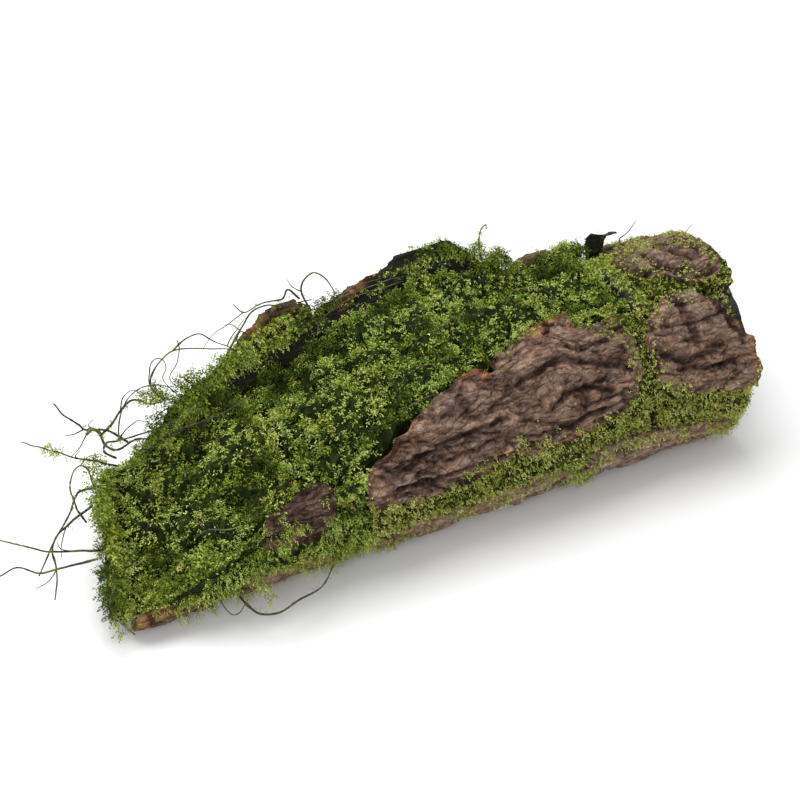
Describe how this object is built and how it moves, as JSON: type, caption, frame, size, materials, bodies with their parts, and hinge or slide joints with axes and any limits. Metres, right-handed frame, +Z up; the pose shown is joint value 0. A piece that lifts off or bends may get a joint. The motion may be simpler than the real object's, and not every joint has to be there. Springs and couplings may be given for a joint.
{
  "type": "mossy log",
  "caption": "Hollowed log lying on its flat underside, with bark plates round the outside, thick feathery moss in its open trough and wiry stems growing from the moss.",
  "frame": {"origin": "on the flat underside, on the log's middle line, about half way along the log", "axes": "+X along the log from the low open end to the round closed end, +Y to the back, +Z up"},
  "size_m": [0.6987, 0.2268, 0.2041],
  "materials": {
    "dark_wood": "charcoal-dark, dull, finely fibrous wood with a green tinge near the moss",
    "bark": "rough, deeply furrowed grey-brown pine bark with orange-brown torn edges",
    "bed_moss": "deep feathery moss, yellow-green at the tips and near black in its depths",
    "seam_moss": "short, tight yellow-green moss",
    "stem": "thin dark grey-brown wiry stems"
  },
  "bodies": {
    "root": {"log_body": "dark_wood", "bark_front_left": "bark", "bark_front_right": "bark", "bark_round_end_front": "bark", "bark_round_end_top": "bark", "bark_low_right": "bark", "bark_low_middle": "bark", "bark_low_left": "bark", "bark_low_end": "bark", "bark_small_front": "bark", "bark_back_rim_left": "bark", "bark_back_rim_middle": "bark", "bark_back_rim_right": "bark", "bark_back_middle": "bark", "bark_back_round_end": "bark", "bark_back_low_left": "bark", "bark_back_low_right": "bark", "moss_front_left": "seam_moss", "moss_front_middle": "seam_moss", "moss_front_right": "seam_moss", "moss_round_end_top": "seam_moss", "moss_back_right": "seam_moss", "moss_back_middle": "seam_moss", "moss_back_left": "seam_moss", "moss_mat_low_end": "bed_moss", "moss_mat_middle": "bed_moss", "moss_mat_round_end": "bed_moss", "moss_curtain": "bed_moss", "curled_skin": "dark_wood", "stem_left_long_upper": "stem", "stem_left_long_lower": "stem", "stem_left_loop": "stem", "stem_left_hanging": "stem", "stem_left_crossing": "stem", "twig_left_straight": "stem", "twig_left_forked": "stem", "stem_upper_arc": "stem", "stem_upper_twist": "stem", "stem_mid_loop": "stem", "stem_back_fork": "stem", "stem_back_long_arc": "stem", "stem_back_loop": "stem", "stem_front_low_arc": "stem", "stem_low_corner": "stem", "stem_round_end_top": "stem"}
  },
  "joints": []
}
